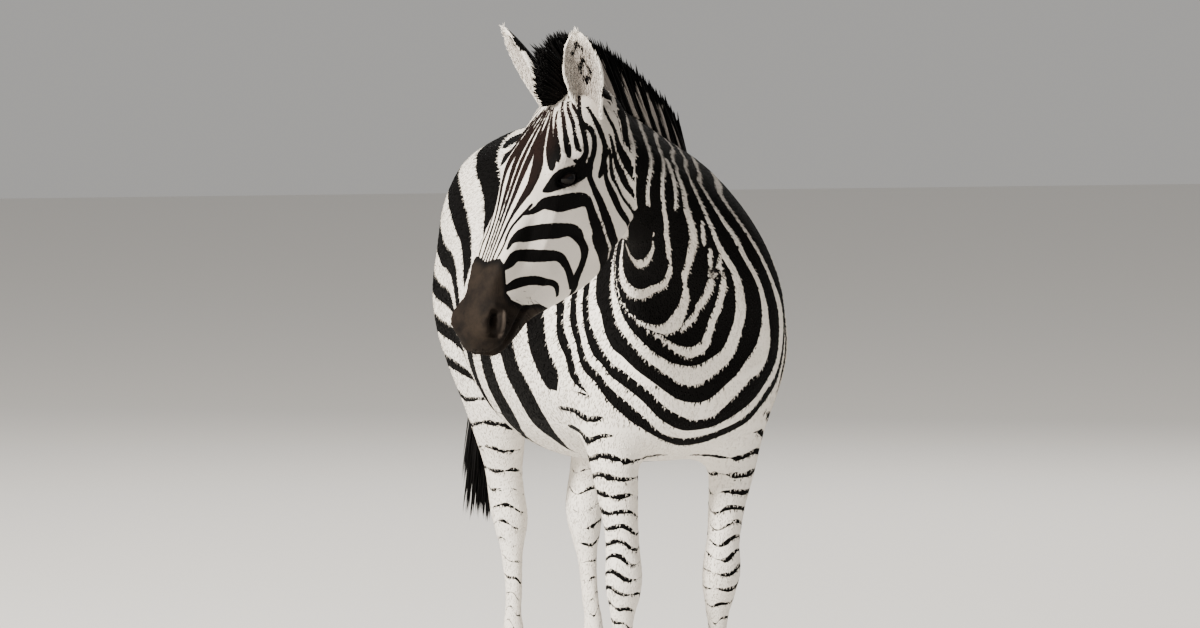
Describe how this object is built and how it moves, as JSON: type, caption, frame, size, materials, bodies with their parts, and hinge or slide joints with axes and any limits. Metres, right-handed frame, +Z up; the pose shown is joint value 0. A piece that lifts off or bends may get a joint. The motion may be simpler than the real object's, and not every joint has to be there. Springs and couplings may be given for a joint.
{
  "type": "zebra",
  "caption": "Life-size still model of a plains zebra standing with its head turned to its right.",
  "frame": {"origin": "centre of the bounding box's footprint, on the floor under the hooves", "axes": "+Z up; the zebra's trunk faces -Y, so its left side is at +X, and its head is turned to its right"},
  "size_m": [0.9198, 1.7608, 1.5544],
  "materials": {
    "coat": "short dense hair, white with black stripes",
    "long_hair": "stiff standing hair, black and white",
    "eyes": "wet gloss, very dark brown",
    "hooves": "horn, dark grey, satin"
  },
  "bodies": {
    "root": {"trunk": "coat", "neck": "coat", "head": "coat", "tail": "coat", "leg_fore_left": "coat", "leg_fore_right": "coat", "leg_hind_left": "coat", "leg_hind_right": "coat", "ear_left": "coat", "ear_right": "coat", "mane": "long_hair", "tail_tuft": "long_hair", "eye_left": "eyes", "eye_right": "eyes", "hoof_fore_left": "hooves", "hoof_fore_right": "hooves", "hoof_hind_left": "hooves", "hoof_hind_right": "hooves"}
  },
  "joints": []
}
